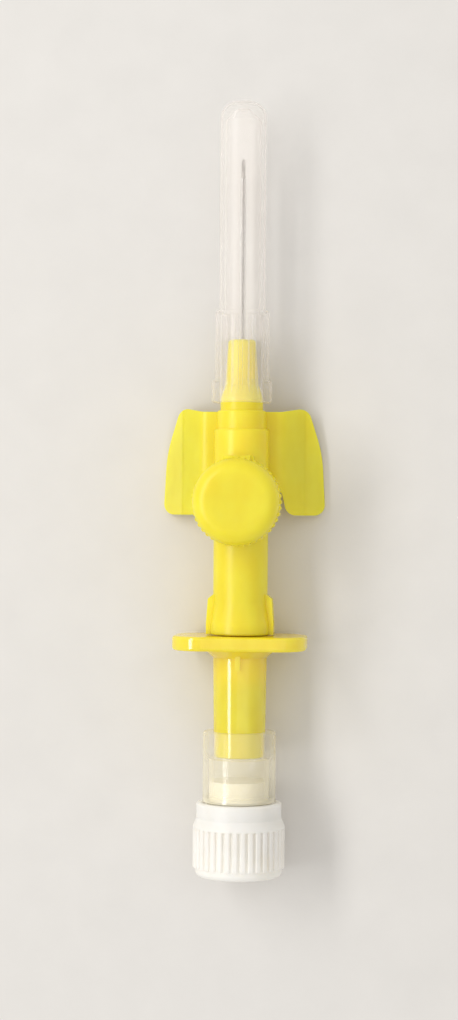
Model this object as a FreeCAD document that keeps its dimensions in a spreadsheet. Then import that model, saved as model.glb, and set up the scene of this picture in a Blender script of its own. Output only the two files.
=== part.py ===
import FreeCAD, Part

import math
import os

import Sketcher
from FreeCAD import Vector

# Ported intravenous cannula with wings, closed as it is before use.
# Every feature is drawn about the cannula's own axis: X across, +Y towards the needle's point,
# +Z up through the injection port, with the port's axis at X = 0 and Y = 0.
# The finished pieces are then placed so that the whole lies on the ground plane, centred.
# Lengths are millimetres. A diameter is a diameter and every other size is a plain length.

SIZES = {
    # catheter hub, from its nose back to its mouth
    "nose_tip_diameter": 3.2,
    "nose_base_diameter": 3.9,
    "nose_length": 5.3,
    "nose_cone_length": 1.6,
    "shoulder_diameter": 5.0,
    "shoulder_length": 1.4,
    "hub_front_diameter": 5.7,
    "hub_front_length": 2.2,
    "hub_body_diameter": 6.4,
    "hub_body_front": 8.55,
    "hub_body_rear": 11.85,
    "flare_diameter": 7.2,
    "flare_length": 2.4,
    "rim_length": 1.3,
    "lug_span": 7.9,
    "lug_width": 2.2,
    "lug_length": 4.8,
    "luer_mouth_diameter": 4.27,
    "luer_depth": 7.6,
    "luer_taper": 0.06,
    "hub_bore_diameter": 3.8,
    "needle_way_diameter": 2.5,
    "bushing_seat_length": 1.0,
    # wings
    "wing_sweep": 0.6,
    "wing_rear": 1.55,
    "wing_root_rear": 1.2,
    "wing_front_reach": 7.6,
    "wing_middle_reach": 9.3,
    "wing_middle_station": 5.8,
    "wing_rear_reach": 9.7,
    "wing_notch_reach": 5.3,
    "wing_bend_reach": 4.7,
    "wing_root_drop": 0.9,
    "wing_knee_reach": 7.3,
    "wing_knee_rise": 1.0,
    "wing_thickness": 0.9,
    "wing_tip_thickness": 0.75,
    "wing_corner_radius": 1.25,
    # injection port
    "port_bore_diameter": 4.26,
    "port_bore_depth": 4.6,
    "port_tower_diameter": 6.2,
    "port_height": 7.7,
    "port_hole_diameter": 2.2,
    "port_root_flange": 0.35,
    "ring_height": 1.0,
    "ring_wall": 0.9,
    "ring_gap": 0.2,
    "ring_groove": 0.12,
    "strap_width": 3.6,
    "film_width": 3.0,
    "film_thickness": 0.3,
    "film_length": 0.2,
    # port cap
    "cap_diameter": 10.0,
    "cap_rib_height": 0.15,
    "cap_rib_width": 0.42,
    "cap_rib_count": 44,
    "cap_rib_length": 2.5,
    "cap_wall": 1.0,
    "cap_roof": 1.35,
    "cap_shoulder_radius": 1.75,
    "cap_seal_gap": 0.05,
    "cap_seal_height": 0.1,
    "cap_lug_depth": 0.65,
    "cap_lug_height": 1.1,
    # valve sleeve under the port
    "sleeve_wall": 0.6,
    "sleeve_length": 8.4,
    # catheter and its bushing
    "catheter_diameter": 0.7,
    "catheter_bore": 0.52,
    "catheter_length": 19.0,
    "catheter_tip_bore": 0.48,
    "catheter_tip_diameter": 0.54,
    "catheter_tip_length": 1.6,
    "catheter_grip_length": 2.65,
    "catheter_flare_length": 0.5,
    "bushing_wall": 0.1,
    "bushing_nose_gap": 0.3,
    "bushing_nose_length": 1.4,
    "bushing_flange_diameter": 2.2,
    "bushing_rim_length": 0.25,
    # needle
    "needle_diameter": 0.46,
    "needle_bore": 0.28,
    "needle_point_length": 2.3,
    "needle_bevel_length": 1.6,
    "needle_tail": 1.2,
    # needle hub with its thumb plate
    "cone_tip_gap": 0.4,
    "plate_gap": 0.1,
    "plate_thickness": 1.7,
    "plate_width": 15.7,
    "plate_height": 10.4,
    "plate_corner_radius": 3.6,
    "plate_edge_radius": 0.35,
    "collar_diameter": 8.4,
    "collar_length": 0.9,
    "barrel_front_diameter": 6.35,
    "barrel_rear_diameter": 6.1,
    "barrel_length": 8.7,
    "spigot_diameter": 5.9,
    "spigot_length": 3.0,
    "barrel_bore": 4.4,
    "barrel_solid_length": 3.2,
    "bevel_mark_width": 0.6,
    "bevel_mark_height": 0.3,
    "bevel_mark_length": 1.4,
    # flash chamber
    "chamber_diameter": 8.6,
    "chamber_length": 8.2,
    "chamber_wall": 0.75,
    "chamber_neck_length": 0.8,
    "chamber_end_wall": 0.9,
    "spout_diameter": 6.2,
    "spout_length": 4.6,
    "spout_lug_length": 1.2,
    "spout_passage": 2.0,
    # vent filter
    "filter_length": 2.3,
    # luer plug
    "plug_collar_diameter": 10.0,
    "plug_collar_length": 3.0,
    "plug_shoulder_length": 1.2,
    "plug_rib_diameter": 10.8,
    "plug_rib_height": 0.3,
    "plug_rib_width": 0.6,
    "plug_rib_count": 36,
    "plug_end_radius": 0.7,
    "plug_floor_gap": 0.7,
    "plug_base_thickness": 2.7,
    "plug_cone_length": 4.6,
    "plug_cone_bore": 1.8,
    # needle cover
    "cover_tube_diameter": 5.4,
    "cover_tube_length": 24.6,
    "cover_tube_wall": 0.55,
    "cover_grip_diameter": 6.3,
    "cover_grip_length": 8.2,
    "cover_collar_diameter": 7.0,
    "cover_collar_length": 2.6,
    "cover_dome_radius": 1.9,
    "cover_end_wall": 0.9,
    "cover_overlap": 0.5,
    "cover_rib_count": 12,
    "cover_rib_width": 0.45,
    "cover_rib_ramp": 1.4,
    # clearances, each measured from wall to wall
    "luer_gap": 0.025,
    "lug_gap": 0.15,
    "cover_gap": 0.05,
    "tube_gap": 0.01,
    "running_gap": 0.02,
    "face_gap": 0.1,
    # moulded edges: a small rounding or a narrow bevel
    "soft_edge": 0.2,
    "bevel": 0.15,
}


class Length:
    """A number together with the sheet formula that gives it, so that features can be bound to it."""

    def __init__(self, value, text):
        self.value = value
        self.text = text

    def __add__(self, other):
        other = as_length(other)
        return Length(self.value + other.value, f"({self.text} + {other.text})")

    def __sub__(self, other):
        other = as_length(other)
        return Length(self.value - other.value, f"({self.text} - {other.text})")

    def __mul__(self, factor):
        factor = as_length(factor)
        return Length(self.value * factor.value, f"({self.text} * {factor.text})")

    def __truediv__(self, divisor):
        divisor = as_length(divisor)
        return Length(self.value / divisor.value, f"({self.text} / {divisor.text})")

    def __neg__(self):
        return Length(-self.value, f"(0 - {self.text})")


def as_length(value):
    """Give a plain number the same form as a sheet size."""
    if isinstance(value, Length):
        return value
    return Length(float(value), repr(float(value)))


class Sizes:
    """The sheet's sizes by name, with the places that several pieces share worked out from them."""

    def __init__(self, sheet):
        for row, (name, value) in enumerate(SIZES.items(), start=1):
            sheet.set(f"A{row}", name)
            sheet.set(f"B{row}", str(value))
            sheet.setAlias(f"B{row}", name)
            setattr(self, name, Length(float(value), f"Sizes.{name}"))

        # Stations along the axis, from the port towards the point.
        self.shoulder_rear = self.hub_body_front + self.hub_front_length
        self.shoulder_front = self.shoulder_rear + self.shoulder_length
        self.nose_base = self.shoulder_front + self.nose_cone_length
        self.nose_tip = self.nose_base + self.nose_length
        self.catheter_tip = self.nose_tip + self.catheter_length
        self.needle_tip = self.catheter_tip + self.needle_point_length
        self.flare_front = self.nose_tip - self.catheter_grip_length
        self.flare_rear = self.flare_front - self.catheter_flare_length
        self.bushing_nose = self.flare_rear - self.bushing_nose_gap
        self.bushing_seat_front = self.bushing_nose - self.bushing_nose_length
        self.bushing_seat_rear = self.bushing_seat_front - self.bushing_seat_length
        self.bushing_rear = self.bushing_seat_rear - self.bushing_rim_length
        self.cover_mouth = self.shoulder_front - self.cover_overlap
        self.cover_collar_front = self.cover_mouth + self.cover_collar_length
        self.cover_step = self.cover_collar_front + self.cover_grip_length
        self.cover_tip = self.cover_step + self.cover_tube_length
        self.wing_root_front = self.shoulder_rear - self.face_gap
        self.wing_front = self.wing_root_front + self.wing_sweep
        self.hub_bore_front = self.sleeve_length / 2 + self.face_gap * 2

        # Stations from the port back to the plug's end face, which are negative.
        self.hub_mouth = -(self.hub_body_rear + self.flare_length + self.rim_length)
        self.plate_front = self.hub_mouth - self.plate_gap
        self.plate_rear = self.plate_front - self.plate_thickness
        self.collar_rear = self.plate_rear - self.collar_length
        self.barrel_bore_front = self.collar_rear - self.barrel_solid_length
        self.chamber_front = self.collar_rear - self.barrel_length
        self.spigot_rear = self.chamber_front - self.spigot_length
        self.chamber_step = self.chamber_front - self.chamber_length
        self.chamber_floor = self.chamber_step - self.chamber_neck_length + self.chamber_end_wall
        self.neck_rear = self.chamber_step - self.chamber_neck_length
        self.spout_rear = self.neck_rear - self.spout_length
        self.plug_front = self.chamber_step - self.face_gap
        self.plug_ribs_front = self.plug_front - self.plug_collar_length
        self.plug_floor = self.spout_rear - self.plug_floor_gap
        self.plug_rear = self.plug_floor - self.plug_base_thickness
        self.luer_end = self.hub_mouth + self.luer_depth
        self.cone_tip = self.luer_end - self.cone_tip_gap
        self.plug_cone_tip = self.spout_rear + self.plug_cone_length - self.face_gap

        # Heights above the axis.
        self.rest_depth = self.plug_rib_diameter / 2
        self.ring_bottom = self.hub_body_diameter / 2 + self.ring_gap
        self.ring_top = self.ring_bottom + self.ring_height
        self.hinge_height = self.ring_top + self.film_length
        self.skirt_bottom = self.hinge_height + self.film_length
        self.seal_bottom = self.port_height + self.cap_seal_gap
        self.roof_height = self.seal_bottom + self.cap_seal_height
        self.cap_top = self.roof_height + self.cap_roof
        self.hinge_reach = self.cap_diameter / 2 + self.cap_rib_height + self.ring_gap

        # Radii that two pieces share.
        self.hub_bore_radius = self.hub_bore_diameter / 2
        self.sleeve_radius = self.hub_bore_radius - self.running_gap
        self.ring_seat_radius = self.port_tower_diameter / 2 - self.ring_groove
        self.chamber_bore_radius = self.chamber_diameter / 2 - self.chamber_wall
        self.cover_bore_radius = self.shoulder_diameter / 2 + self.cover_gap
        self.cover_rib_radius = self.nose_base_diameter / 2 + self.cover_gap
        self.bushing_bore_radius = self.needle_diameter / 2 + self.running_gap
        self.bushing_radius = self.bushing_bore_radius + self.bushing_wall
        self.flared_bore_radius = self.bushing_radius + self.tube_gap
        self.flared_radius = self.flared_bore_radius + (self.catheter_diameter - self.catheter_bore) / 2

        # Where the finished pieces lie: centred on their length, with the lowest rib on the ground.
        self.lie_back = -(self.cover_tip + self.plug_rear) / 2
        self.lie_up = self.rest_depth

    def luer_radius(self, mouth, station):
        """Radius of a standard female luer cone whose mouth is at one station, at another station."""
        return self.luer_mouth_diameter / 2 - (station - mouth) * self.luer_taper / 2


def bind(feature, prop, value):
    """Tie a property to the sheet."""
    feature.setExpression(prop, as_length(value).text)


def new_body(document, name):
    """Start a sub-part, which keeps its node name as its label."""
    body = document.addObject("PartDesign::Body", name)
    body.Label = name
    return body


def origin_part(body, role):
    """Find one of the body's own origin planes or axes."""
    return next(item for item in body.Origin.OriginFeatures if item.Role == role)


def corner_points(previous, corner, following, radius):
    """Where a rounding arc starts, passes and ends at one corner of an outline."""
    into = (corner - previous).normalize()
    away = (following - corner).normalize()
    turn = into.getAngle(away)
    reach = radius * math.tan(turn / 2)
    start = corner - into * reach
    end = corner + away * reach
    inward = (away - into).normalize()
    middle = corner + inward * (radius / math.cos(turn / 2) - radius)
    return start, middle, end


def add_loop(sketch, corners):
    """Draw one closed loop of straight sides, with an arc at each corner that has a radius.

    A corner is (across, along) or (across, along, radius). Every corner is held by its two
    distances from the origin, so the loop is fully constrained and follows the sheet.
    """
    points = [Vector(as_length(c[0]).value, as_length(c[1]).value, 0) for c in corners]
    count = len(corners)
    starts = []
    ends = []
    arcs = {}
    for index, corner in enumerate(corners):
        point = points[index]
        if len(corner) == 2:
            starts.append(point)
            ends.append(point)
            continue
        radius = as_length(corner[2]).value
        following = points[(index + 1) % count]
        start, middle, end = corner_points(points[index - 1], point, following, radius)
        starts.append(start)
        ends.append(end)
        turns_left = (point - start).cross(end - point).z > 0
        if turns_left:
            arcs[index] = (sketch.addGeometry(Part.Arc(start, middle, end), False), 1, 2)
        else:
            arcs[index] = (sketch.addGeometry(Part.Arc(end, middle, start), False), 2, 1)

    lines = []
    for index in range(count):
        side = Part.LineSegment(ends[index], starts[(index + 1) % count])
        lines.append(sketch.addGeometry(side, False))

    for index, corner in enumerate(corners):
        before = lines[index - 1]
        after = lines[index]
        if index in arcs:
            arc, arc_start, arc_end = arcs[index]
            sketch.addConstraint(Sketcher.Constraint("Tangent", before, 2, arc, arc_start))
            sketch.addConstraint(Sketcher.Constraint("Tangent", arc, arc_end, after, 1))
            held = sketch.addConstraint(Sketcher.Constraint("Radius", arc, as_length(corner[2]).value))
            bind(sketch, f"Constraints[{held}]", corner[2])
            mark = sketch.addGeometry(Part.Point(points[index]), True)
            sketch.addConstraint(Sketcher.Constraint("PointOnObject", mark, 1, before))
            sketch.addConstraint(Sketcher.Constraint("PointOnObject", mark, 1, after))
            target = (mark, 1)
        else:
            sketch.addConstraint(Sketcher.Constraint("Coincident", before, 2, after, 1))
            target = (after, 1)
        for kind, distance, axis in (("DistanceX", corner[0], -2), ("DistanceY", corner[1], -1)):
            if distance == 0:
                sketch.addConstraint(Sketcher.Constraint("PointOnObject", *target, axis))
                continue
            held = sketch.addConstraint(Sketcher.Constraint(kind, -1, 1, *target, distance.value))
            bind(sketch, f"Constraints[{held}]", distance)


def outline(body, plane, *loops, offset=None):
    """Sketch closed loops on one of the body's own origin planes."""
    sketch = body.newObject("Sketcher::SketchObject", "Outline")
    sketch.AttachmentSupport = [(origin_part(body, plane), "")]
    sketch.MapMode = "FlatFace"
    if offset is not None:
        bind(sketch, "AttachmentOffset.Base.z", offset)
    for corners in loops:
        add_loop(sketch, corners)
    return sketch


def turned(body, corners, plane="XY_Plane", cut=False):
    """Turn an outline of (radius, place along the axis) corners about the body's Y or Z axis."""
    sketch = outline(body, plane, corners)
    feature = body.newObject("PartDesign::Groove" if cut else "PartDesign::Revolution", "Turned")
    feature.Profile = sketch
    feature.ReferenceAxis = (sketch, ["V_Axis"])
    feature.Angle = 360
    return feature


def pushed(body, sketch, length, both_ways=False, cut=False):
    """Pad or pocket a sketch."""
    feature = body.newObject("PartDesign::Pocket" if cut else "PartDesign::Pad", "Pushed")
    feature.Profile = sketch
    feature.SideType = "Symmetric" if both_ways else "One side"
    bind(feature, "Length", length)
    return feature


def repeated(body, feature, count, axis):
    """Repeat a feature evenly all round an axis."""
    pattern = body.newObject("PartDesign::PolarPattern", "Repeated")
    pattern.Originals = [feature]
    pattern.Axis = (origin_part(body, axis), [""])
    pattern.Angle = 360
    bind(pattern, "Occurrences", count)
    body.Tip = pattern
    return pattern


def needle_cover(document, s):
    """Long cap over the needle: a closed tube on a wider grip whose inner ribs hold the hub's nose."""
    body = new_body(document, "needle_cover")
    tube_radius = s.cover_tube_diameter / 2
    grip_radius = s.cover_grip_diameter / 2
    collar_radius = s.cover_collar_diameter / 2
    bore_step = s.cover_step - s.cover_tube_wall
    bore_end = s.cover_tip - s.cover_end_wall
    tube_bore = tube_radius - s.cover_tube_wall
    bore_chamfer = s.cover_dome_radius - s.cover_tube_wall
    turned(body, [
        (s.cover_bore_radius, s.cover_mouth),
        (collar_radius - s.bevel, s.cover_mouth),
        (collar_radius, s.cover_mouth + s.bevel),
        (collar_radius, s.cover_collar_front - s.bevel),
        (collar_radius - s.bevel, s.cover_collar_front),
        (grip_radius, s.cover_collar_front),
        (grip_radius, s.cover_step - s.bevel),
        (grip_radius - s.bevel, s.cover_step),
        (tube_radius, s.cover_step),
        (tube_radius, s.cover_tip, s.cover_dome_radius),
        (0, s.cover_tip),
        (0, bore_end),
        (tube_bore - bore_chamfer, bore_end),
        (tube_bore, bore_end - bore_chamfer),
        (tube_bore, bore_step),
        (s.cover_bore_radius, bore_step),
    ])
    rib_rear = s.nose_base - s.cover_rib_ramp + s.soft_edge
    into_wall = s.cover_bore_radius + (grip_radius - s.cover_bore_radius) / 2
    rib_side = outline(body, "YZ_Plane", [
        (rib_rear, s.cover_bore_radius),
        (rib_rear + s.cover_rib_ramp, s.cover_rib_radius),
        (bore_step + s.cover_tube_wall / 2, s.cover_rib_radius),
        (bore_step + s.cover_tube_wall / 2, into_wall),
        (rib_rear, into_wall),
    ])
    rib = pushed(body, rib_side, s.cover_rib_width, both_ways=True)
    repeated(body, rib, s.cover_rib_count, "Y_Axis")
    return body


def catheter_tube(document, s):
    """Soft tube that stays in the vein, drawn in at its tip and flared over the bushing at its root."""
    body = new_body(document, "catheter_tube")
    outer = s.catheter_diameter / 2
    inner = s.catheter_bore / 2
    taper_start = s.catheter_tip - s.catheter_tip_length
    root = s.bushing_seat_front + s.running_gap
    turned(body, [
        (s.catheter_tip_bore / 2, s.catheter_tip),
        (inner, s.catheter_tip - s.catheter_tip_length / 2),
        (inner, s.flare_front),
        (s.flared_bore_radius, s.flare_rear),
        (s.flared_bore_radius, root),
        (s.flared_radius, root),
        (s.flared_radius, s.flare_rear),
        (outer, s.flare_front),
        (outer, taper_start),
        (s.catheter_tip_diameter / 2, s.catheter_tip),
    ])
    return body


def catheter_bushing(document, s):
    """Metal funnel that wedges the flared tube into the nose of the hub."""
    body = new_body(document, "catheter_bushing")
    rim = s.bushing_flange_diameter / 2
    turned(body, [
        (s.bushing_bore_radius, s.bushing_nose),
        (s.bushing_radius, s.bushing_nose),
        (s.bushing_radius, s.bushing_seat_front),
        (rim, s.bushing_seat_rear),
        (rim, s.bushing_rear),
        (rim - s.bushing_wall, s.bushing_rear),
        (rim - s.bushing_wall, s.bushing_seat_rear),
        (s.bushing_bore_radius, s.bushing_seat_front),
    ])
    return body


def wing_section(s):
    """Front view of both wings in one strip: level at the root, then bent down, with a knee that
    lets the outer part lie flatter on the skin."""
    root_top = -s.wing_root_drop
    root_bottom = root_top - s.wing_thickness
    ground = -s.rest_depth
    tip_top = ground + s.wing_tip_thickness
    knee_top = tip_top + s.wing_knee_rise
    knee_bottom = knee_top - (s.wing_thickness + s.wing_tip_thickness) / 2
    tight = s.wing_thickness
    wide = s.wing_thickness * 2
    half = [
        (s.wing_bend_reach, root_top, wide),
        (s.wing_knee_reach, knee_top, tight),
        (s.wing_rear_reach, tip_top),
        (s.wing_rear_reach, ground),
        (s.wing_knee_reach, knee_bottom, wide),
        (s.wing_bend_reach, root_bottom, tight),
    ]
    return half + mirrored(half)


def mirrored(corners):
    """The same corners on the other side of the middle plane, in reverse order."""
    return [(-corner[0], *corner[1:]) for corner in reversed(corners)]


def wing_plan(s):
    """Plan of both wings: a bowed outer edge, rounded corners and a notch behind each root."""
    corner = s.wing_corner_radius
    rear = -s.wing_rear
    half = [
        (s.wing_bend_reach, s.wing_root_front, corner * 2),
        (s.wing_front_reach, s.wing_front, corner),
        (s.wing_middle_reach, s.wing_middle_station, corner * 12),
        (s.wing_rear_reach, rear, corner),
        (s.wing_notch_reach, rear, corner),
        (s.wing_bend_reach, s.wing_root_rear, s.soft_edge * 2),
    ]
    return half + mirrored(half)


def add_wings(body, s):
    """Pad the bent strip along the chord, then cut away all that lies outside the plan."""
    chord = s.wing_front + s.wing_rear
    strip = outline(body, "XZ_Plane", wing_section(s), offset=-s.wing_front)
    pushed(body, strip, chord)
    margin = s.wing_thickness
    frame = [
        (s.wing_rear_reach + margin, s.wing_front + margin),
        (-s.wing_rear_reach - margin, s.wing_front + margin),
        (-s.wing_rear_reach - margin, -s.wing_rear - margin),
        (s.wing_rear_reach + margin, -s.wing_rear - margin),
    ]
    waste = outline(body, "XY_Plane", frame, wing_plan(s))
    pushed(body, waste, s.rest_depth * 3, both_ways=True, cut=True)


def catheter_hub(document, s):
    """Winged hub in one moulding: nose, body, injection port and female luer mouth with its lugs."""
    body = new_body(document, "catheter_hub")
    add_wings(body, s)

    shoulder = s.shoulder_diameter / 2
    front = s.hub_front_diameter / 2
    main = s.hub_body_diameter / 2
    flare = s.flare_diameter / 2
    rim_front = s.hub_mouth + s.rim_length
    turned(body, [
        (0, s.nose_tip),
        (s.nose_tip_diameter / 2, s.nose_tip, s.soft_edge * 2),
        (s.nose_base_diameter / 2, s.nose_base, s.soft_edge * 4),
        (shoulder, s.shoulder_front, s.soft_edge),
        (shoulder, s.shoulder_rear),
        (front - s.bevel, s.shoulder_rear),
        (front, s.shoulder_rear - s.bevel),
        (front, s.hub_body_front),
        (main - s.bevel, s.hub_body_front),
        (main, s.hub_body_front - s.bevel),
        (main, -s.hub_body_rear, s.soft_edge * 10),
        (flare, rim_front, s.soft_edge * 3),
        (flare, s.hub_mouth + s.bevel),
        (flare - s.bevel, s.hub_mouth),
        (0, s.hub_mouth),
    ])

    # Port tower, with a root flange on the hub and a shallow groove that holds the cap's ring.
    tower = s.port_tower_diameter / 2
    root_top = s.ring_bottom - s.running_gap
    turned(body, [
        (0, 0),
        (tower + s.port_root_flange, 0),
        (tower + s.port_root_flange, root_top),
        (s.ring_seat_radius, root_top),
        (s.ring_seat_radius, s.ring_top + s.running_gap),
        (tower, s.ring_top + s.running_gap + s.ring_groove),
        (tower, s.port_height - s.bevel),
        (tower - s.bevel, s.port_height),
        (0, s.port_height),
    ], plane="XZ_Plane")

    # Luer lugs on both sides of the mouth, each with a ramp at its front.
    lug = s.lug_span / 2
    lug_front = s.hub_mouth + s.lug_length
    ramp = s.lug_length / 8
    lugs = outline(body, "XY_Plane", [
        (lug, s.hub_mouth),
        (lug, s.hub_mouth + s.rim_length),
        (lug - s.soft_edge, lug_front - ramp, s.soft_edge),
        (main - s.soft_edge, lug_front),
        (-main + s.soft_edge, lug_front),
        (-lug + s.soft_edge, lug_front - ramp, s.soft_edge),
        (-lug, s.hub_mouth + s.rim_length),
        (-lug, s.hub_mouth),
    ])
    pushed(body, lugs, s.lug_width, both_ways=True)

    # Bore from the luer mouth through the valve seat to the hole for the tube.
    behind_mouth = s.hub_mouth - s.face_gap
    way = s.needle_way_diameter / 2
    tube_hole = s.catheter_diameter / 2 + s.tube_gap
    flared_hole = s.flared_radius + s.tube_gap
    turned(body, [
        (0, behind_mouth),
        (s.luer_radius(s.hub_mouth, behind_mouth), behind_mouth),
        (s.luer_radius(s.hub_mouth, s.luer_end), s.luer_end),
        (s.hub_bore_radius, s.luer_end),
        (s.hub_bore_radius, s.hub_bore_front),
        (way, s.hub_bore_front + s.hub_bore_radius - way),
        (way, s.bushing_rear),
        (s.bushing_flange_diameter / 2 + s.tube_gap, s.bushing_seat_rear),
        (flared_hole, s.bushing_seat_front),
        (flared_hole, s.flare_rear),
        (tube_hole, s.flare_front),
        (tube_hole, s.nose_tip + s.face_gap),
        (0, s.nose_tip + s.face_gap),
    ], cut=True)

    # Port bore, with a small hole at its foot that the valve sleeve closes from inside.
    port_foot = s.port_height - s.port_bore_depth
    turned(body, [
        (0, 0),
        (s.port_hole_diameter / 2, 0),
        (s.port_hole_diameter / 2, port_foot),
        (s.port_bore_diameter / 2, port_foot),
        (s.port_bore_diameter / 2, s.port_height + s.face_gap),
        (0, s.port_height + s.face_gap),
    ], plane="XZ_Plane", cut=True)
    return body


def valve_sleeve(document, s):
    """Silicone sleeve in the hub that lets the port push fluid in and lets none out."""
    outside = document.addObject("Part::Cylinder", "SleeveOutside")
    inside = document.addObject("Part::Cylinder", "SleeveInside")
    bind(outside, "Radius", s.sleeve_radius)
    bind(inside, "Radius", s.sleeve_radius - s.sleeve_wall)
    for cylinder in (outside, inside):
        bind(cylinder, "Height", s.sleeve_length)
        cylinder.Placement.Rotation = FreeCAD.Rotation(Vector(1, 0, 0), -90)
        bind(cylinder, "Placement.Base.y", -s.sleeve_length / 2)
    sleeve = document.addObject("Part::Cut", "valve_sleeve")
    sleeve.Base = outside
    sleeve.Tool = inside
    sleeve.Label = "valve_sleeve"
    return sleeve


def port_cap_ring(document, s):
    """Ring round the port's tower, with the strap and thin film that the cap is hinged on."""
    body = new_body(document, "port_cap_ring")
    inner = s.ring_seat_radius + s.running_gap
    outer = inner + s.ring_wall
    turned(body, [
        (inner, s.ring_bottom),
        (outer - s.bevel, s.ring_bottom),
        (outer, s.ring_bottom + s.bevel),
        (outer, s.ring_top - s.bevel),
        (outer - s.bevel, s.ring_top),
        (inner, s.ring_top),
    ], plane="XZ_Plane")
    half = s.strap_width / 2
    strap = outline(body, "XY_Plane", [
        (half, inner + s.ring_wall / 2),
        (half, s.hinge_reach, s.soft_edge),
        (-half, s.hinge_reach, s.soft_edge),
        (-half, inner + s.ring_wall / 2),
    ], offset=s.ring_bottom)
    pushed(body, strap, s.ring_height)
    half_film = s.film_width / 2
    film = outline(body, "XY_Plane", [
        (half_film, s.hinge_reach - s.film_thickness),
        (half_film, s.hinge_reach),
        (-half_film, s.hinge_reach),
        (-half_film, s.hinge_reach - s.film_thickness),
    ], offset=s.ring_top - s.film_length)
    pushed(body, film, s.film_length * 2)
    return body


def port_cap(document, s):
    """Snap cap over the injection port: domed shoulder, knurled skirt and a hinge lug at the front."""
    body = new_body(document, "port_cap")
    outer = s.cap_diameter / 2
    inner = outer - s.cap_wall
    seal = s.port_tower_diameter / 2
    roof_chamfer = (inner - seal) / 2
    turned(body, [
        (0, s.seal_bottom),
        (seal, s.seal_bottom),
        (seal, s.roof_height),
        (inner - roof_chamfer, s.roof_height),
        (inner, s.roof_height - roof_chamfer),
        (inner, s.skirt_bottom),
        (outer, s.skirt_bottom),
        (outer, s.cap_top, s.cap_shoulder_radius),
        (0, s.cap_top),
    ], plane="XZ_Plane")
    half_lug = s.film_width / 2
    lug = outline(body, "XY_Plane", [
        (half_lug, s.hinge_reach - s.cap_lug_depth),
        (half_lug, s.hinge_reach),
        (-half_lug, s.hinge_reach),
        (-half_lug, s.hinge_reach - s.cap_lug_depth),
    ], offset=s.hinge_height + s.running_gap)
    pushed(body, lug, s.cap_lug_height)
    half_rib = s.cap_rib_width / 2
    rib_plan = outline(body, "XY_Plane", [
        (half_rib, outer - s.cap_wall / 2),
        (half_rib, outer + s.cap_rib_height / 2),
        (half_rib / 2, outer + s.cap_rib_height),
        (-half_rib / 2, outer + s.cap_rib_height),
        (-half_rib, outer + s.cap_rib_height / 2),
        (-half_rib, outer - s.cap_wall / 2),
    ], offset=s.skirt_bottom)
    rib = pushed(body, rib_plan, s.cap_rib_length)
    repeated(body, rib, s.cap_rib_count, "Z_Axis")
    return body


def needle(document, s):
    """Steel introducer needle with a bevelled point, glued into the needle hub."""
    body = new_body(document, "needle")
    radius = s.needle_diameter / 2
    tail = s.barrel_bore_front - s.needle_tail
    turned(body, [
        (s.needle_bore / 2, tail),
        (radius, tail),
        (radius, s.needle_tip),
        (s.needle_bore / 2, s.needle_tip),
    ])
    bevel_foot = s.needle_tip - s.needle_bevel_length
    bevel = outline(body, "YZ_Plane", [
        (s.needle_tip + radius, -radius),
        (s.needle_tip, -radius),
        (bevel_foot, radius),
        (bevel_foot, radius * 2),
        (s.needle_tip + radius, radius * 2),
    ])
    pushed(body, bevel, s.needle_diameter * 2, both_ways=True, cut=True)
    return body


def needle_hub(document, s):
    """Grip of the needle: a male luer cone, the thumb plate, and a barrel open to the flash chamber."""
    body = new_body(document, "needle_hub")
    half_width = s.plate_width / 2
    half_height = s.plate_height / 2
    corner = s.plate_corner_radius
    plate_outline = outline(body, "XZ_Plane", [
        (half_width, half_height, corner),
        (-half_width, half_height, corner),
        (-half_width, -half_height, corner),
        (half_width, -half_height, corner),
    ], offset=-s.plate_front)
    plate = pushed(body, plate_outline, s.plate_thickness)
    document.recompute()
    edges = body.newObject("PartDesign::Fillet", "PlateEdges")
    edges.Base = (plate, ["Face" + str(index) for index, face in enumerate(plate.Shape.Faces, start=1)
                          if abs(face.normalAt(0, 0).y) > 0.99])
    bind(edges, "Radius", s.plate_edge_radius)

    turned(body, [
        (0, s.cone_tip),
        (s.luer_radius(s.hub_mouth, s.cone_tip) - s.luer_gap - s.bevel, s.cone_tip),
        (s.luer_radius(s.hub_mouth, s.cone_tip) - s.luer_gap, s.cone_tip - s.bevel),
        (s.luer_radius(s.hub_mouth, s.plate_front) - s.luer_gap, s.plate_front),
        (s.collar_diameter / 2, s.plate_front),
        (s.collar_diameter / 2, s.plate_rear),
        (s.barrel_front_diameter / 2, s.collar_rear, s.soft_edge),
        (s.barrel_rear_diameter / 2, s.chamber_front),
        (s.spigot_diameter / 2, s.chamber_front),
        (s.spigot_diameter / 2, s.spigot_rear + s.bevel),
        (s.spigot_diameter / 2 - s.bevel, s.spigot_rear),
        (0, s.spigot_rear),
    ])

    # Small rib on top of the barrel that shows which way the bevel faces.
    mark_radius = s.barrel_front_diameter / 2
    half_mark = s.bevel_mark_width / 2
    mark = outline(body, "XY_Plane", [
        (half_mark, s.plate_rear),
        (half_mark, s.collar_rear - s.bevel_mark_length),
        (-half_mark, s.collar_rear - s.bevel_mark_length),
        (-half_mark, s.plate_rear),
    ], offset=mark_radius - s.bevel_mark_height)
    pushed(body, mark, s.bevel_mark_height * 2)

    needle_way = s.needle_diameter / 2 + s.tube_gap
    bore = s.barrel_bore / 2
    turned(body, [
        (0, s.cone_tip + s.face_gap),
        (needle_way, s.cone_tip + s.face_gap),
        (needle_way, s.barrel_bore_front),
        (bore - s.bevel, s.barrel_bore_front),
        (bore, s.barrel_bore_front - s.bevel),
        (bore, s.spigot_rear - s.face_gap),
        (0, s.spigot_rear - s.face_gap),
    ], cut=True)
    return body


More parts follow.
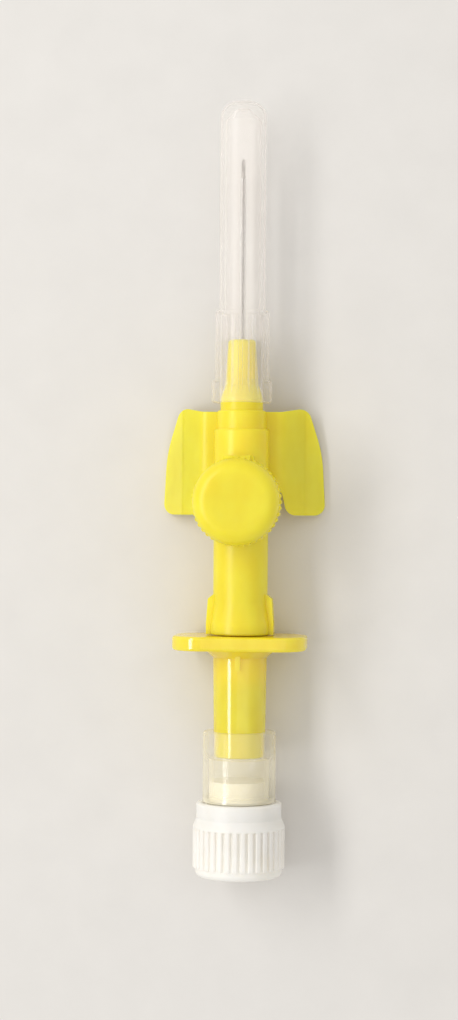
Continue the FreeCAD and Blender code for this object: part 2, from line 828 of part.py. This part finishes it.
def flash_chamber(document, s):
    """Clear chamber that shows the first blood: a sleeve on the barrel and a luer spout behind."""
    body = new_body(document, "flash_chamber")
    outer = s.chamber_diameter / 2
    spout = s.spout_diameter / 2
    lug = s.lug_span / 2
    neck = lug - s.face_gap
    turned(body, [
        (0, s.chamber_front),
        (outer - s.bevel, s.chamber_front),
        (outer, s.chamber_front - s.bevel),
        (outer, s.chamber_step),
        (neck, s.chamber_step),
        (neck, s.neck_rear),
        (spout, s.neck_rear),
        (spout, s.spout_rear),
        (0, s.spout_rear),
    ])
    lug_front = s.spout_rear + s.spout_lug_length
    lugs = outline(body, "XY_Plane", [
        (lug, s.spout_rear),
        (lug, lug_front),
        (-lug, lug_front),
        (-lug, s.spout_rear),
    ])
    pushed(body, lugs, s.lug_width, both_ways=True)
    sleeve = s.spigot_diameter / 2 + s.running_gap
    luer_end = s.spout_rear + s.plug_cone_length + s.face_gap
    turned(body, [
        (0, s.chamber_front + s.face_gap),
        (sleeve, s.chamber_front + s.face_gap),
        (sleeve, s.spigot_rear - s.face_gap),
        (s.chamber_bore_radius, s.spigot_rear - s.face_gap * 2),
        (s.chamber_bore_radius, s.chamber_floor),
        (s.spout_passage / 2, s.chamber_floor),
        (s.spout_passage / 2, luer_end),
        (s.luer_radius(s.spout_rear, luer_end), luer_end),
        (s.luer_radius(s.spout_rear, s.spout_rear - s.face_gap), s.spout_rear - s.face_gap),
        (0, s.spout_rear - s.face_gap),
    ], cut=True)
    return body


def vent_filter(document, s):
    """Porous disc at the back of the flash chamber that lets air out and keeps blood in."""
    disc = document.addObject("Part::Cylinder", "vent_filter")
    disc.Label = "vent_filter"
    bind(disc, "Radius", s.chamber_bore_radius - s.running_gap)
    bind(disc, "Height", s.filter_length)
    return disc


def luer_plug(document, s):
    """White plug that closes the chamber: plain collar, ribbed grip and a male luer cone inside."""
    body = new_body(document, "luer_plug")
    collar = s.plug_collar_diameter / 2
    crest = s.plug_rib_diameter / 2
    root = crest - s.plug_rib_height
    cavity = s.lug_span / 2 + s.lug_gap
    cone_root = s.luer_radius(s.spout_rear, s.plug_floor) - s.luer_gap
    cone_tip = s.luer_radius(s.spout_rear, s.plug_cone_tip) - s.luer_gap
    bore = s.plug_cone_bore / 2
    turned(body, [
        (0, s.plug_rear),
        (root, s.plug_rear, s.plug_end_radius),
        (root, s.plug_ribs_front),
        (crest, s.plug_ribs_front),
        (crest, s.plug_ribs_front + s.soft_edge),
        (collar, s.plug_ribs_front + s.plug_shoulder_length),
        (collar, s.plug_front - s.bevel),
        (collar - s.bevel, s.plug_front),
        (cavity, s.plug_front),
        (cavity, s.plug_floor),
        (cone_root, s.plug_floor),
        (cone_tip, s.plug_cone_tip),
        (bore, s.plug_cone_tip),
        (bore, s.plug_floor),
        (0, s.plug_floor),
    ])
    half_rib = s.plug_rib_width / 2
    rib_plan = outline(body, "XZ_Plane", [
        (half_rib, root - s.plug_rib_height),
        (half_rib, crest - s.plug_rib_height / 3),
        (half_rib - s.plug_rib_height / 3, crest),
        (-half_rib + s.plug_rib_height / 3, crest),
        (-half_rib, crest - s.plug_rib_height / 3),
        (-half_rib, root - s.plug_rib_height),
    ], offset=-s.plug_ribs_front)
    rib_length = s.plug_ribs_front - s.plug_rear - s.plug_end_radius - s.soft_edge * 2
    rib = pushed(body, rib_plan, rib_length)
    repeated(body, rib, s.plug_rib_count, "Y_Axis")
    return body


def place(part, s):
    """Lay a finished piece in the part's own frame."""
    bind(part, "Placement.Base.y", s.lie_back)
    bind(part, "Placement.Base.z", s.lie_up)


def check(document, parts):
    """Stop if any feature failed, cut or added nothing, or left a sub-part that is not a sound solid."""
    for item in document.Objects:
        if "Invalid" in item.State or "Error" in item.State:
            raise RuntimeError(f"{item.Name} failed: {item.getStatusString()}")
        before = getattr(item, "BaseFeature", None)
        if before is None:
            continue
        change = item.Shape.Volume - before.Shape.Volume
        cuts = item.TypeId in ("PartDesign::Pocket", "PartDesign::Groove", "PartDesign::Fillet")
        if change >= 0 if cuts else change <= 0:
            raise RuntimeError(f"{item.Name} changed the volume by {change}")
    for part in parts:
        if part.Shape.isNull() or not part.Shape.isValid() or not part.Shape.Solids:
            raise RuntimeError(f"{part.Label} is not a sound solid")


def main():
    document = FreeCAD.newDocument("Cannula")
    sheet = document.addObject("Spreadsheet::Sheet", "Sizes")
    sizes = Sizes(sheet)
    document.recompute()

    makers = [
        needle_cover,
        catheter_tube,
        catheter_bushing,
        catheter_hub,
        valve_sleeve,
        port_cap_ring,
        port_cap,
        needle,
        needle_hub,
        flash_chamber,
        luer_plug,
    ]
    parts = [make(document, sizes) for make in makers]
    for part in parts:
        place(part, sizes)

    filter_disc = vent_filter(document, sizes)
    filter_disc.Placement.Rotation = FreeCAD.Rotation(Vector(1, 0, 0), -90)
    bind(filter_disc, "Placement.Base.y", sizes.lie_back + sizes.chamber_floor)
    bind(filter_disc, "Placement.Base.z", sizes.lie_up)
    parts.append(filter_disc)

    document.recompute()
    check(document, parts)
    os.makedirs("parts", exist_ok=True)
    for part in parts:
        part.Shape.exportStep(f"parts/{part.Label}.step")
        print(part.Label, "volume", round(part.Shape.Volume, 3), "solids", len(part.Shape.Solids))


main()
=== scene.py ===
"""Looks of a ported intravenous cannula with wings, closed as it is before use.

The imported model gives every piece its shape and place. This script gives each piece its finish and adds
the floor, the light and the camera. Lengths are metres, in the model's own frame: X across the wings,
+Y towards the needle's point, +Z up through the injection port.
"""

import math

import bpy
import numpy as np
from mathutils import Matrix, Vector


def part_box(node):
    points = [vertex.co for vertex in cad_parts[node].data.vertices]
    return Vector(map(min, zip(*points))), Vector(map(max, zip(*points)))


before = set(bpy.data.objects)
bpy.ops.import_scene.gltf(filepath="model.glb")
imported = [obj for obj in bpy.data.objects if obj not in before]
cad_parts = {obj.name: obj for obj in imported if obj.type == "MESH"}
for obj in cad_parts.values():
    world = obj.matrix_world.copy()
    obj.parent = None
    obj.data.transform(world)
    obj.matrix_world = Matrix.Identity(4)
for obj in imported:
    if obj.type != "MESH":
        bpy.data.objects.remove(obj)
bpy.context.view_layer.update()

MM = 0.001

# The long axis of the cannula runs this high above the floor.
AXIS_HEIGHT = (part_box("luer_plug")[0].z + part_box("luer_plug")[1].z) / 2
# How far forward the hub's nose and the plug reach, and how far back the needle hub's spigot.
NOSE_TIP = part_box("catheter_hub")[1].y
SPIGOT_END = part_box("needle_hub")[0].y
PLUG_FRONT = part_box("luer_plug")[1].y

# Refraction of each plastic.
POLYPROPYLENE_IOR = 1.49
CLEAR_PLASTIC_IOR = 1.5
POLYETHYLENE_IOR = 1.5
CATHETER_IOR = 1.37
SILICONE_IOR = 1.41

# The mix node keeps its sockets for colours at these places.
MIX_FACTOR = 0
MIX_FIRST = 6
MIX_SECOND = 7
MIX_RESULT = 2

# The fine ridge where the halves of the yellow pieces' moulds met: half its width at the crest and at the
# foot in metres, and its height in millimetres.
SEAM_CREST = 0.02 * MM
SEAM_FOOT = 0.07 * MM
SEAM_HEIGHT = 0.015

# Stripes round the catheter, and where in a stripe's wave its colour starts and is full.
STRIPES = 6
STRIPE_START = 0.55
STRIPE_FULL = 0.7

# Lamps: place, width and length, power and colour.
WINDOW_PLACE = (-0.36, 0.15, 0.405)
WINDOW_SIZE = (0.11, 0.66)
WINDOW_WATTS = 1.7
WINDOW_COLOUR = (1.0, 0.99, 0.975)
OVERHEAD_PLACE = (0.18, 0.10, 0.56)
OVERHEAD_SIZE = (0.60, 0.60)
OVERHEAD_WATTS = 0.40
OVERHEAD_COLOUR = (1.0, 1.0, 1.0)
EVEN_LIGHT_COLOUR = (1.0, 0.975, 0.94, 1.0)
EVEN_LIGHT_STRENGTH = 0.66


def srgb(red, green, blue):
    """A colour as an eye reads it, 0 to 255, in the linear form that shaders take."""
    values = np.array([red, green, blue]) / 255.0
    low = values / 12.92
    high = ((values + 0.055) / 1.055) ** 2.4
    linear = np.where(values <= 0.04045, low, high)
    return (*(float(v) for v in linear), 1.0)


class Finish:
    """One material: a Principled shader with patterns that follow the piece's own place in space."""

    def __init__(self, name):
        self.material = bpy.data.materials.new(name)
        self.material.use_nodes = True
        self.tree = self.material.node_tree
        self.tree.nodes.clear()
        self.shader = self.node("ShaderNodeBsdfPrincipled")
        output = self.node("ShaderNodeOutputMaterial")
        self.link(self.shader.outputs["BSDF"], output.inputs["Surface"])
        self.place = self.node("ShaderNodeTexCoord").outputs["Object"]
        self.height = None

    def node(self, kind, **settings):
        made = self.tree.nodes.new(kind)
        for key, value in settings.items():
            setattr(made, key, value)
        return made

    def link(self, start, end):
        self.tree.links.new(start, end)

    def set(self, **sockets):
        """Set the shader's own sockets; a socket's spaces are written as underscores."""
        for key, value in sockets.items():
            self.shader.inputs[key.replace("_", " ")].default_value = value

    def math(self, operation, first, second=None, third=None):
        made = self.node("ShaderNodeMath", operation=operation)
        for socket, value in zip(made.inputs, (first, second, third)):
            if value is None:
                continue
            if isinstance(value, (int, float)):
                socket.default_value = value
            else:
                self.link(value, socket)
        return made.outputs[0]

    def along(self, axis):
        """Object coordinate along X, Y or Z, in metres."""
        parts = self.node("ShaderNodeSeparateXYZ")
        self.link(self.place, parts.inputs["Vector"])
        return parts.outputs[axis]

    def stretched(self, across, along):
        """Object coordinates counted in steps of these lengths, in millimetres."""
        mapping = self.node("ShaderNodeMapping")
        steps = (across, along, across)
        mapping.inputs["Scale"].default_value = [1 / (step * MM) for step in steps]
        self.link(self.place, mapping.inputs["Vector"])
        return mapping.outputs["Vector"]

    def noise(self, across, along=None, detail=2.0):
        """Cloudy pattern whose grains have these lengths, in millimetres."""
        made = self.node("ShaderNodeTexNoise")
        made.inputs["Scale"].default_value = 1.0
        made.inputs["Detail"].default_value = detail
        self.link(self.stretched(across, along or across), made.inputs["Vector"])
        return made.outputs["Fac"]

    def ranged(self, value, low, high, start=0.3, end=0.7):
        """Stretch a pattern from start..end to low..high."""
        made = self.node("ShaderNodeMapRange")
        sockets = ("Value", "From Min", "From Max", "To Min", "To Max")
        for socket, given in zip(sockets, (value, start, end, low, high)):
            if isinstance(given, (int, float)):
                made.inputs[socket].default_value = given
            else:
                self.link(given, made.inputs[socket])
        return made.outputs["Result"]

    def blend(self, fraction, first, second):
        """Mix two colours by a pattern."""
        made = self.node("ShaderNodeMix", data_type="RGBA")
        self.link(fraction, made.inputs[MIX_FACTOR])
        made.inputs[MIX_FIRST].default_value = first
        made.inputs[MIX_SECOND].default_value = second
        return made.outputs[MIX_RESULT]

    def colour(self, value):
        self.link(value, self.shader.inputs["Base Color"])

    def rough(self, value):
        self.link(value, self.shader.inputs["Roughness"])

    def see_through(self, face_on, edge_on, turn, shade):
        """Set how much a thin wall hides: face_on where it is turned from the eye by less than the first
        of the two turns, 0 to 1, and edge_on beyond the second. Light on its way to the pieces inside
        is held back by only the share shade of that, because clear plastic gathers it again."""
        weight = self.node("ShaderNodeLayerWeight")
        weight.inputs["Blend"].default_value = 0.5
        hidden = self.ranged(weight.outputs["Facing"], face_on, edge_on, *turn)
        passing = self.node("ShaderNodeLightPath").outputs["Is Shadow Ray"]
        kept = self.math("MULTIPLY_ADD", passing, shade - 1.0, 1.0)
        self.link(self.math("MULTIPLY", hidden, kept), self.shader.inputs["Alpha"])

    def raise_by(self, value, depth):
        """Add a pattern to the surface as relief, depth in millimetres from its low to its high."""
        part = self.math("MULTIPLY", value, depth * MM)
        self.height = part if self.height is None else self.math("ADD", self.height, part)

    def finished(self):
        """Turn the collected relief into a bump and give the material back."""
        if self.height is not None:
            bump = self.node("ShaderNodeBump")
            bump.inputs["Strength"].default_value = 1.0
            bump.inputs["Distance"].default_value = 1.0
            self.link(self.height, bump.inputs["Height"])
            self.link(bump.outputs["Normal"], self.shader.inputs["Normal"])
        return self.material


def moulded_yellow(name, dark, light, low, high, gloss):
    """Yellow polypropylene that lets some light through, between two shades and two roughnesses, with
    faint flow marks along it and the fine ridge where the mould's halves met, level with the axis."""
    finish = Finish(name)
    cloud = finish.ranged(finish.noise(2.6, 5.0), 0.0, 1.0)
    finish.colour(finish.blend(cloud, dark, light))
    finish.rough(finish.ranged(finish.noise(0.9, 1.8, detail=3.0), low, high))
    finish.raise_by(finish.noise(0.9, 1.6), 0.003)
    finish.raise_by(finish.noise(0.12, 0.16, detail=3.0), 0.0006)
    from_seam = finish.math("ABSOLUTE", finish.math("SUBTRACT", finish.along("Z"), AXIS_HEIGHT))
    finish.raise_by(finish.ranged(from_seam, 1.0, 0.0, SEAM_CREST, SEAM_FOOT), SEAM_HEIGHT)
    finish.set(Subsurface_Weight=0.9, Subsurface_Scale=MM, Subsurface_Radius=(2.4, 2.2, 0.4))
    finish.set(IOR=POLYPROPYLENE_IOR, Specular_IOR_Level=gloss)
    return finish.finished()


def natural_cover():
    """Milky polypropylene, faintly streaked along its length. Its thin wall lets most light straight
    through, so the needle shows inside it, and it looks clearer over the hub's nose."""
    finish = Finish("natural_cover")
    cloud = finish.ranged(finish.noise(2.2, 9.0), 0.0, 1.0)
    finish.colour(finish.blend(cloud, srgb(253, 247, 241), srgb(255, 252, 248)))
    finish.rough(finish.ranged(finish.noise(1.6, 9.0), 0.16, 0.24))
    finish.raise_by(finish.noise(2.2, 14.0), 0.003)
    haze = finish.ranged(finish.along("Y"), 0.14, 0.27, NOSE_TIP - 0.5 * MM, NOSE_TIP + 0.5 * MM)
    finish.see_through(haze, 0.85, (0.5, 1.0), 0.5)
    finish.set(Transmission_Weight=0.25, IOR=POLYPROPYLENE_IOR)
    return finish.finished()


def clear_chamber():
    """Clear hard plastic with a warm tinge and a slight haze, less where the yellow spigot fills it and
    more in a band at its end wall in front of the plug, where the milky haze lightens the shade in the
    joint: painted light."""
    finish = Finish("clear_chamber")
    cloud = finish.ranged(finish.noise(2.0, 4.0), 0.0, 1.0)
    finish.colour(finish.blend(cloud, srgb(253, 246, 217), srgb(255, 251, 232)))
    finish.rough(finish.ranged(finish.noise(1.1, 2.2, detail=3.0), 0.05, 0.10))
    finish.raise_by(finish.noise(2.0, 7.0), 0.003)
    length = finish.along("Y")
    haze = finish.ranged(length, 0.30, 0.12, SPIGOT_END - 0.3 * MM, SPIGOT_END + 0.3 * MM)
    # A band of more haze at the end wall, just in front of the plug, lightens the shade where the chamber
    # meets the plug: painted light.
    behind = finish.ranged(length, 0.4, 0.0, PLUG_FRONT + 0.3 * MM, PLUG_FRONT + 0.8 * MM)
    before = finish.ranged(length, 0.0, 1.0, PLUG_FRONT - 0.2 * MM, PLUG_FRONT)
    haze = finish.math("MULTIPLY_ADD", behind, before, haze)
    finish.see_through(haze, 0.8, (0.4, 1.0), 0.35)
    finish.set(Transmission_Weight=0.15, IOR=CLEAR_PLASTIC_IOR, Specular_IOR_Level=1.0)
    return finish.finished()


def white_plug():
    """White satin polyethylene, with a fine grain from its mould."""
    finish = Finish("white_plug")
    cloud = finish.ranged(finish.noise(2.4), 0.0, 1.0)
    finish.colour(finish.blend(cloud, srgb(250, 244, 234), srgb(255, 251, 243)))
    finish.rough(finish.ranged(finish.noise(0.5, detail=3.0), 0.34, 0.46))
    finish.raise_by(finish.noise(0.10, detail=3.0), 0.0015)
    finish.set(Subsurface_Weight=0.7, Subsurface_Scale=MM, Subsurface_Radius=(2.2, 2.1, 2.0))
    finish.set(IOR=POLYETHYLENE_IOR)
    return finish.finished()


def catheter_wall():
    """Translucent soft tube with stripes along it that show under X rays."""
    finish = Finish("catheter_wall")
    height = finish.math("SUBTRACT", finish.along("Z"), AXIS_HEIGHT)
    turn = finish.math("ARCTAN2", finish.along("X"), height)
    wave = finish.math("COSINE", finish.math("MULTIPLY", turn, STRIPES))
    stripe = finish.ranged(wave, 0.0, 1.0, STRIPE_START, STRIPE_FULL)
    finish.colour(finish.blend(stripe, srgb(250, 248, 245), srgb(232, 231, 228)))
    finish.rough(finish.ranged(finish.noise(0.3, 1.0), 0.25, 0.35))
    finish.raise_by(finish.noise(0.08, 0.8), 0.0005)
    finish.see_through(0.08, 0.85, (0.01, 0.28), 0.5)
    finish.set(Transmission_Weight=0.3, IOR=CATHETER_IOR)
    return finish.finished()


def soft_silicone():
    """Cloudy silicone rubber with a dusty skin."""
    finish = Finish("soft_silicone")
    cloud = finish.ranged(finish.noise(0.8), 0.0, 1.0)
    finish.colour(finish.blend(cloud, srgb(226, 226, 218), srgb(240, 239, 232)))
    finish.rough(finish.ranged(finish.noise(0.4, detail=3.0), 0.5, 0.65))
    finish.raise_by(finish.noise(0.15, detail=3.0), 0.002)
    finish.set(Subsurface_Weight=0.5, Subsurface_Scale=MM, Subsurface_Radius=(0.8, 0.8, 0.7))
    finish.set(IOR=SILICONE_IOR)
    return finish.finished()


def porous_filter():
    """Sintered plastic grains, cream coloured, with painted shade in the pores between them."""
    finish = Finish("porous_filter")
    grains = finish.node("ShaderNodeTexVoronoi")
    grains.inputs["Scale"].default_value = 1.0
    finish.link(finish.stretched(0.22, 0.22), grains.inputs["Vector"])
    # Darker between the grains, where the relief is lowest: painted shade in the pores.
    shade = finish.ranged(grains.outputs["Distance"], 0.0, 1.0, 0.1, 0.8)
    finish.colour(finish.blend(shade, srgb(254, 251, 240), srgb(243, 236, 218)))
    finish.rough(finish.ranged(finish.noise(0.3), 0.7, 0.85))
    finish.raise_by(finish.math("SUBTRACT", 1.0, grains.outputs["Distance"]), 0.03)
    finish.set(Subsurface_Weight=0.4, Subsurface_Scale=MM, Subsurface_Radius=(0.6, 0.6, 0.5))
    finish.set(IOR=POLYPROPYLENE_IOR)
    return finish.finished()


def drawn_steel():
    """Stainless steel tube with fine drawing lines along it."""
    finish = Finish("drawn_steel")
    lines = finish.noise(0.03, 2.5, detail=3.0)
    finish.colour(finish.blend(finish.ranged(lines, 0.0, 1.0), srgb(150, 145, 140), srgb(184, 179, 174)))
    finish.rough(finish.ranged(finish.noise(0.05, 1.5), 0.18, 0.32))
    finish.raise_by(lines, 0.0006)
    finish.set(Metallic=1.0)
    return finish.finished()


def paint_nodes():
    """Give every node its finish."""
    satin_yellow = moulded_yellow("satin_yellow", srgb(244, 218, 42), srgb(251, 228, 60), 0.33, 0.42, 0.5)
    glossy_yellow = moulded_yellow("glossy_yellow", srgb(239, 214, 40), srgb(246, 224, 56), 0.11, 0.16, 1.0)
    steel = drawn_steel()
    finishes = {
        "catheter_hub": satin_yellow,
        "needle_hub": glossy_yellow,
        "port_cap": satin_yellow,
        "port_cap_ring": satin_yellow,
        "needle": steel,
        "catheter_bushing": steel,
        "needle_cover": natural_cover(),
        "flash_chamber": clear_chamber(),
        "luer_plug": white_plug(),
        "catheter_tube": catheter_wall(),
        "valve_sleeve": soft_silicone(),
        "vent_filter": porous_filter(),
    }
    for name, material in finishes.items():
        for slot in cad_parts[name].material_slots:
            slot.material = material


def pale_paper():
    """Floor like pale uncoated paper."""
    finish = Finish("pale_paper")
    cloud = finish.ranged(finish.noise(6.0, detail=4.0), 0.0, 1.0)
    finish.colour(finish.blend(cloud, srgb(224, 222, 219), srgb(227, 225, 222)))
    finish.rough(finish.ranged(finish.noise(1.0), 0.8, 0.9))
    finish.raise_by(finish.noise(0.35, detail=4.0), 0.01)
    finish.set(Specular_IOR_Level=0.2)
    return finish.finished()


def lay_floor():
    """A flat square far larger than the camera's view."""
    half = 0.6
    corners = [(-half, -half, 0), (half, -half, 0), (half, half, 0), (-half, half, 0)]
    mesh = bpy.data.meshes.new("floor")
    mesh.from_pydata(corners, [], [(0, 1, 2, 3)])
    mesh.materials.append(pale_paper())
    floor = bpy.data.objects.new("floor", mesh)
    bpy.context.scene.collection.objects.link(floor)


def facing(place, target, up):
    """Turn for a lamp or camera at a place that looks at a target, its own up kept near the given one."""
    back = (Vector(place) - Vector(target)).normalized()
    right = Vector(up).cross(back).normalized()
    above = back.cross(right)
    turn = Matrix((right, above, back)).transposed()
    return Matrix.Translation(place) @ turn.to_4x4()


def add_lamp(name, place, target, size, watts, colour):
    """A soft rectangular lamp of this width and length, its length along the cannula."""
    lamp = bpy.data.lights.new(name, "AREA")
    lamp.shape = "RECTANGLE"
    lamp.size, lamp.size_y = size
    lamp.energy = watts
    lamp.color = colour
    holder = bpy.data.objects.new(name, lamp)
    holder.matrix_world = facing(place, target, (0, 1, 0))
    bpy.context.scene.collection.objects.link(holder)


def light_studio():
    """A long window high on the left, parallel to the cannula and reaching far forward, a broad fill
    overhead, and even light from all round."""
    beside_window = (0, WINDOW_PLACE[1], AXIS_HEIGHT)
    add_lamp("window", WINDOW_PLACE, beside_window, WINDOW_SIZE, WINDOW_WATTS, WINDOW_COLOUR)
    middle = (0, 0, AXIS_HEIGHT)
    add_lamp("overhead", OVERHEAD_PLACE, middle, OVERHEAD_SIZE, OVERHEAD_WATTS, OVERHEAD_COLOUR)
    world = bpy.data.worlds.new("even_light")
    bpy.context.scene.world = world
    world.use_nodes = True
    background = world.node_tree.nodes["Background"]
    background.inputs["Color"].default_value = EVEN_LIGHT_COLOUR
    background.inputs["Strength"].default_value = EVEN_LIGHT_STRENGTH


def place_camera():
    """Above the cannula and a little to its right, turned so that it leans as in the picture."""
    distance = 0.260
    tilt = math.radians(5.0)
    lean = math.radians(0.42)
    view_height = 0.120
    sensor = 36.0
    aim = Vector((-0.00142, -0.0025, AXIS_HEIGHT))
    place = aim + Vector((math.sin(tilt), 0, math.cos(tilt))) * distance
    camera = bpy.data.cameras.new("camera")
    camera.sensor_width = sensor
    camera.lens = sensor * distance / view_height
    camera.clip_start = 0.01
    camera.clip_end = 10
    holder = bpy.data.objects.new("camera", camera)
    holder.matrix_world = facing(place, aim, (-math.sin(lean), math.cos(lean), 0))
    bpy.context.scene.collection.objects.link(holder)
    bpy.context.scene.camera = holder


paint_nodes()
lay_floor()
light_studio()
place_camera()
bpy.context.scene.view_settings.view_transform = "Standard"
